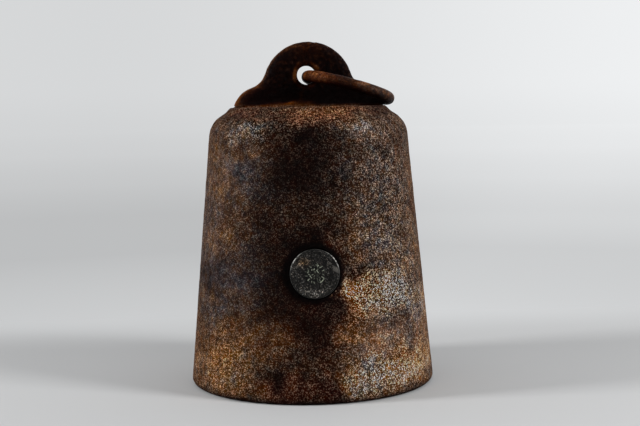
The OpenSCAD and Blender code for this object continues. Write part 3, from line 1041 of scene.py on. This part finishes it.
# and a few arcs run between them, as (radius, start turn, end turn)
punchArcs = [(2.70, 302, 330), (2.45, 66, 80), (1.35, 200, 230), (1.90, 150, 168), (1.0, 20, 60)]
punchWear = {
    "seed": 11, "turn": (-0.5, 0.5), "start": (-0.3, 0.3), "end": (-0.8, 0.3), "lean": (-0.9, 0.9),
    "bright": (0.08, 0.92, 1.4),        # least, range and how rare the brightest are
    "arcBright": 0.9, "arcPoints": 4,
}


def punchStrokes():
    # every stroke is (x0, y0, x1, y1, strength)
    draw = np.random.default_rng(punchWear["seed"])
    least, more, rarity = punchWear["bright"]
    strokes = []
    for inner, outer, count, uneven in punchRings:
        for i in range(count):
            turn = 2 * math.pi * (i + uneven * draw.uniform(*punchWear["turn"])) / count
            start = inner + uneven * draw.uniform(*punchWear["start"])
            end = outer + uneven * draw.uniform(*punchWear["end"])
            lean = turn + uneven * draw.uniform(*punchWear["lean"]) / (1 + start)
            bright = least + more * draw.uniform(0.0, 1.0) ** rarity
            strokes.append((start * math.cos(turn), start * math.sin(turn),
                            end * math.cos(lean), end * math.sin(lean), bright))
    for radius, start, end in punchArcs:
        turns = np.radians(np.linspace(start, end, punchWear["arcPoints"]))
        xs, ys = radius * np.cos(turns), radius * np.sin(turns)
        strokes += [(*ends, punchWear["arcBright"]) for ends in zip(xs, ys, xs[1:], ys[1:])]
    return strokes


def nearStroke(x, y):
    # distance to the nearest stroke, and that stroke's strength
    near = np.full(len(x), np.inf)
    strength = np.zeros(len(x))
    for x0, y0, x1, y1, bright in punchStrokes():
        along = np.array((x1 - x0, y1 - y0))
        t = np.clip(((x - x0) * along[0] + (y - y0) * along[1]) / (along @ along), 0, 1)
        gap = np.hypot(x - x0 - t * along[0], y - y0 - t * along[1])
        strength = np.where(gap < near, bright, strength)
        near = np.minimum(near, gap)
    return near, strength


def plugProfile():
    r, chamfer, face = plug["radius"], plug["chamfer"], plug["proud"]
    collar, near, far = plug["collarRadius"], plug["collarNear"], plug["collarFar"]
    side = [(0, -plug["length"]), (r, -plug["length"]), (r, -far), (collar, -far), (collar, -near),
            (r, -near), (r, face - chamfer - plug["shank"])]
    edge = [(r - chamfer * (1 - math.cos(t)), face - chamfer * (1 - math.sin(t)))
            for t in np.linspace(0, math.pi / 2, plug["chamferSteps"])]
    rings = int(r / plug["faceGrid"])
    return side + edge + [(across, face) for across in np.linspace(r - chamfer - plug["faceGrid"], 0, rings)]


def faceRelief(points, onFace, stroke):
    # dents and grain, the punched strokes with their lips, and the dish of the whole face
    push = np.zeros(len(points))
    for i in np.nonzero(onFace > 0)[0]:
        at = Vector(points[i])
        push[i] = plug["dent"] * fractal.noise(at / plug["dentSize"])
        push[i] += plug["grain"] * fractal.noise(at / plug["grainSize"] + Vector(plug["grainOffset"]))
    width = plug["strokeWidth"]
    lip = plug["strokeLip"] * hump(stroke, 2 * width, width)
    push += plug["strokeDepth"] * (lip - hump(stroke, 0, width))
    push -= plug["dish"] * fade(np.hypot(points[:, 0], points[:, 1]), *plug["dishRange"])
    return np.minimum(push, plug["highest"]) * onFace


# How the plug's paleness, wear and painted rim highlight change over its face: places and distances in mm,
# turns in degrees
plugShading = {
    "light": 0.35, "crust": 0.26, "inMark": -0.15, "brown": 0.22, "left": 0.06,
    "leftRange": (2.0, 5.0), "markRange": (3.6, 2.2),
    "brownPlace": (-2.9, 3.1), "brownSize": (1.5, 1.0),
    "crustBelow": (3.0, 5.2), "crustAway": (3.5, 5.0), "crustRight": (2.0, 4.5), "crustFade": 0.5,
    # the painted highlight on parts of the plug's rim
    "rimPlace": (0.11, 0.085),          # in from the edge, and width
    "rimTurns": [(146, 17), (34, 19)], "rimLeast": 0.05,
    "edge": (0.45, 0.2), "edgeShare": 0.75,     # the edge's dark line, in from the edge
    "facetAcross": (4.7, 5.0), "facetPlace": (5.6, 1.1), "facetSlope": 0.55,
    "facetWidth": (0.9, 0.4), "facetEnd": (6.5, 6.2),
    "markWidth": 0.095,
}


def plugFields(points, onFace, stroke, strength):
    # a painted highlight along parts of the rim, worn bright in the strokes, greyer and grainier below
    shade = plugShading
    x, y, z = points.T
    away = np.hypot(x, y)
    turn = np.degrees(np.arctan2(y, x)) % 360
    highlighted = np.clip(sum(hump(turn, middle, width) for middle, width in shade["rimTurns"]), 0, 1)
    inward, width = shade["rimPlace"]
    rim = hump(away, plug["radius"] - inward, width) * (z > 0)
    least = shade["rimLeast"]
    (atX, atY), (wide, tall) = shade["brownPlace"], shade["brownSize"]
    brownish = hump(x, atX, wide) * hump(y, atY, tall)
    facetX, facetY = shade["facetPlace"]
    across = np.abs(y - facetY + shade["facetSlope"] * (x - facetX))
    facet = fade(x, *shade["facetAcross"]) * fade(across, *shade["facetWidth"])
    facet *= fade(away, *shade["facetEnd"])
    crust = fade(-y, *shade["crustBelow"]) * fade(away, *shade["crustAway"])
    crust *= 1 - shade["crustFade"] * fade(x, *shade["crustRight"])
    light = shade["light"] + shade["crust"] * crust + shade["inMark"] * fade(away, *shade["markRange"])
    light += shade["brown"] * brownish + shade["left"] * fade(-x, *shade["leftRange"])
    fromEdge = plug["radius"] - away
    return {
        "plugRimHighlight": rim * (least + (1 - least) * highlighted),
        "mark": hump(stroke, 0, shade["markWidth"]) * onFace * strength,
        "brownish": brownish,
        "facet": facet * onFace,
        "light": light * (1 - shade["edgeShare"] * fade(fromEdge, *shade["edge"])),
    }


def makePlug(material):
    made = spun("stampPlug", plugProfile(), fullTurn(plug["turns"]))
    points = pointArray(made)
    x, y, z = points.T
    top = plug["proud"] - plug["chamfer"]
    onFace = fade(z, top + plug["skin"][0], plug["proud"] + plug["skin"][1])
    stroke, strength = nearStroke(x, y)
    for name, values in plugFields(points, onFace, stroke, strength).items():
        storeFloat(made, name, values)
    points[:, 2] += faceRelief(points, onFace, stroke)
    made.data.vertices.foreach_set("co", (points * mm).ravel())
    made.data.transform(Matrix.Scale(mm, 4) @ atPocket() @ Matrix.Scale(1 / mm, 4))
    made.data.materials.append(material)
    finishMesh(made, plug["sharpAngle"])
    return made


# The plug's finish, with its sizes in mm
plugLook = {
    "grain": 0.21, "grainOffset": (2, 9, 4), "coarse": 0.42, "coarseOffset": (8, 1, 6), "mottle": 1.3,
    "level": (0.22, 0.45),              # how much the mottles change the paleness, and its mean
    "glintPower": 8.0, "glintGain": 9.0, "glintSpread": (0.5, 1.5), "glintShare": (0.75, 0.25),
    "tints": [(1.16, 1.00, 0.84), (1.02, 1.00, 0.96)], "brownTint": (1.75, 1.05, 0.50),
    "facet": (0.150, 0.140, 0.125), "facetShare": 0.55,
    "mark": (0.86, 0.92, 0.72), "markGrains": (0.1, 0.8, 0.15, 1.0),
    # the painted rim highlight's colour, and the grains it takes
    "plugRimHighlight": (0.92, 0.90, 0.84), "plugRimHighlightGrains": (0.1, 0.6, 0.10, 1.0),
    "rough": (0.45, 0.75), "specular": 0.1, "bumpStrength": 0.5, "bump": 0.04, "bumpSize": 0.35,
}


def plugMaterial():
    material, tree, shader = newMaterial("tarnishedPlug")
    look = plugLook
    place = millimetres(tree)
    fine = grains(tree, place, look["grain"], look["grainOffset"])
    coarse = grains(tree, place, look["coarse"], look["coarseOffset"])
    level = timesPlus(tree, waves(tree, place, look["mottle"], 3.0), *look["level"])
    mean = maths(tree, "POWER", times(tree, readFloat(tree, "light"), level), screenGamma)
    glint = times(tree, maths(tree, "POWER", fine[0], look["glintPower"]), look["glintGain"])
    glint = times(tree, glint, spread(tree, coarse[1], *look["glintSpread"]))
    mean = times(tree, mean, timesPlus(tree, glint, *look["glintShare"]))
    tint = mixColour(tree, coarse[0], *look["tints"])
    tint = mixColour(tree, readFloat(tree, "brownish"), tint, look["brownTint"])
    colour = vectors(tree, "SCALE", tint, scale=mean)
    colour = mixColour(tree, times(tree, readFloat(tree, "facet"), look["facetShare"]), colour, look["facet"])
    for name, grain in (("mark", fine[1]), ("plugRimHighlight", coarse[2])):
        share = times(tree, readFloat(tree, name), band(tree, grain, *look[name + "Grains"]))
        colour = mixColour(tree, share, colour, look[name])
    lumps = noise(tree, place, look["bumpSize"], 2.0, waveRoughness)
    fill(tree, shader, {"Base Color": colour, "Roughness": band(tree, fine[2], 0.0, 1.0, *look["rough"]),
                        "Specular IOR Level": look["specular"],
                        "Normal": bumps(tree, look["bumpStrength"], look["bump"], lumps)})
    return material


stampPlug = makePlug(plugMaterial())
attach(stampPlug, "weight")
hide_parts("stamp_plug")
print("plug:", len(stampPlug.data.polygons), "faces")


# The adjusting lead keeps its CAD shape, and only its finish is set

leadLook = {
    "mottle": 2.0, "tints": [(0.10, 0.105, 0.115), (0.19, 0.195, 0.205)], "rough": 0.55, "metallic": 0.6,
}


def leadMaterial():
    material, tree, shader = newMaterial("dullLead")
    soft = noise(tree, millimetres(tree), leadLook["mottle"], 3.0)
    fill(tree, shader, {"Base Color": mixColour(tree, soft, *leadLook["tints"]),
                        "Roughness": leadLook["rough"], "Metallic": leadLook["metallic"]})
    return material


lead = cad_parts["adjusting_lead"].data
lead.materials.clear()
lead.materials.append(leadMaterial())
print("adjusting lead: finish set")


# Stage: a wide pale floor that melts into a pale surround, and soft lamps

stage = {
    "reach": 3000.0, "middle": 20.0, "rings": 30, "turns": 96,
    "paper": (0.645, 0.65, 0.655), "paperRight": (0.695, 0.70, 0.705), "paperTurn": (-160.0, 160.0),
    "rough": 0.9, "specular": 0.1,
    # where the floor changes to the surround's paleness, mm: behind the weight, and all round it
    "behind": (48.0, 112.0), "round": (140.0, 230.0),
    # the glow's paleness by distance, mm, dimmest between 330 and 560 mm as a painted falloff of the lamps'
    # light
    "paleness": [(130, 0.605), (330, 0.515), (560, 0.515), (900, 0.57), (1600, 0.622), (3000, 0.650)],
    "surround": 0.68,
    "nearLift": 0.08, "farLift": 0.30,      # how much paler the right side is, near and far
    "lift": (150.0, 520.0),                 # and between which distances that changes, mm
    "sides": (-0.14, 0.36),                 # where it starts and ends, as a share of the distance
    "tint": (0.985, 1.0, 1.012),
}
# The surround's light in front of and behind the weight, and its shade below the horizon, by direction
sky = {"front": 0.03, "behind": 0.44, "depth": (-0.25, 0.45), "horizon": (-0.026, 0.012), "below": 0.955}

lamps = {
    # turn round the weight from the front, elevation, distance in mm; size in mm; watts
    "leftBox": {"turn": -80, "rise": 25, "away": 620, "size": (125, 260), "power": 2.2},
    "rightBox": {"turn": 59, "rise": 27, "away": 620, "size": (150, 260), "power": 2.25},
    "topBox": {"turn": 0, "rise": 75, "away": 560, "size": (520, 420), "power": 0.46},
}
lampAim = 40.0      # height on the weight's axis that the lamps point at, mm


def seenOrMirrored(tree):
    path = put(tree, "ShaderNodeLightPath").outputs
    either = maths(tree, "MAXIMUM", path["Is Glossy Ray"], path["Is Transmission Ray"])
    return maths(tree, "MAXIMUM", path["Is Camera Ray"], either)


def floorPaleness(tree, across, away):
    level = stage["paleness"][0][1]
    for (r0, a), (r1, b) in zip(stage["paleness"], stage["paleness"][1:]):
        level = plus(tree, level, band(tree, away, r0, r1, 0.0, b - a, smooth=False))
    side = maths(tree, "DIVIDE", across, maths(tree, "MAXIMUM", away, 1.0))
    lift = band(tree, away, *stage["lift"], stage["nearLift"], stage["farLift"])
    lift = times(tree, lift, band(tree, side, *stage["sides"]))
    return times(tree, level, plus(tree, 1.0, lift))


def paperMaterial():
    # paper near the weight, and farther off a glow as pale as the surround, which lights nothing itself
    material, tree, shader = newMaterial("palePaper")
    place = millimetres(tree)
    across, behind = put(tree, "ShaderNodeSeparateXYZ", {0: place}).outputs[:2]
    away = vectors(tree, "LENGTH", place)
    turn = band(tree, across, *stage["paperTurn"])
    fill(tree, shader, {"Base Color": mixColour(tree, turn, stage["paper"], stage["paperRight"]),
                        "Roughness": stage["rough"], "Specular IOR Level": stage["specular"]})
    glow = {"Color": stage["tint"], "Strength": floorPaleness(tree, across, away)}
    glow = put(tree, "ShaderNodeEmission", glow)
    share = maths(tree, "MAXIMUM", band(tree, behind, *stage["behind"]), band(tree, away, *stage["round"]))
    share = times(tree, seenOrMirrored(tree), share)
    mix = put(tree, "ShaderNodeMixShader", {0: share, 1: shader.outputs[0], 2: glow.outputs[0]})
    fill(tree, tree.nodes["Material Output"], {"Surface": mix.outputs[0]})
    return material


def makeStage():
    radii = np.geomspace(stage["middle"], stage["reach"], stage["rings"])
    turns = fullTurn(stage["turns"])
    points = [(r * math.cos(t) * mm, r * math.sin(t) * mm, 0) for r in radii for t in turns]
    faces = [tuple(reversed(f)) for f in bridgeRows(len(radii), len(turns))]
    points.append((0, 0, 0))
    faces += [(len(points) - 1, i, (i + 1) % len(turns)) for i in range(len(turns))]
    floor = meshObject("paleFloor", points, faces)
    floor.data.materials.append(paperMaterial())


def makeLamps():
    for name, lamp in lamps.items():
        data = bpy.data.lights.new(name, "AREA")
        data.shape = "RECTANGLE"
        data.size = lamp["size"][0] * mm
        data.size_y = lamp["size"][1] * mm
        data.energy = lamp["power"]
        made = bpy.data.objects.new(name, data)
        bpy.context.scene.collection.objects.link(made)
        turn, rise = math.radians(lamp["turn"]), math.radians(lamp["rise"])
        way = Vector((math.sin(turn) * math.cos(rise), -math.cos(turn) * math.cos(rise), math.sin(rise)))
        made.location = Vector((0, 0, lampAim * mm)) + way * lamp["away"] * mm
        made.rotation_euler = way.to_track_quat("Z", "Y").to_euler()


def makeSky():
    # pale to the camera all round; as light it is pale behind the weight and dim in front of it
    world = bpy.data.worlds.new("studio")
    bpy.context.scene.world = world
    world.use_nodes = True
    tree = world.node_tree
    way = put(tree, "ShaderNodeTexCoord").outputs["Generated"]
    across, behind, up = put(tree, "ShaderNodeSeparateXYZ", {0: way}).outputs
    pale = stage["surround"]
    shown = band(tree, across, *stage["sides"], pale, pale * (1 + stage["farLift"]))
    shown = times(tree, shown, band(tree, up, *sky["horizon"], sky["below"], 1.0))
    light = band(tree, behind, *sky["depth"], sky["front"], sky["behind"])
    strength = put(tree, "ShaderNodeMix", {0: seenOrMirrored(tree), 2: light, 3: shown}, data_type="FLOAT")
    fill(tree, tree.nodes["Background"], {"Color": stage["tint"], "Strength": strength.outputs[0]})


makeStage()
makeLamps()
makeSky()
bpy.context.scene.view_settings.view_transform = "Standard"
print("stage and lamps set")
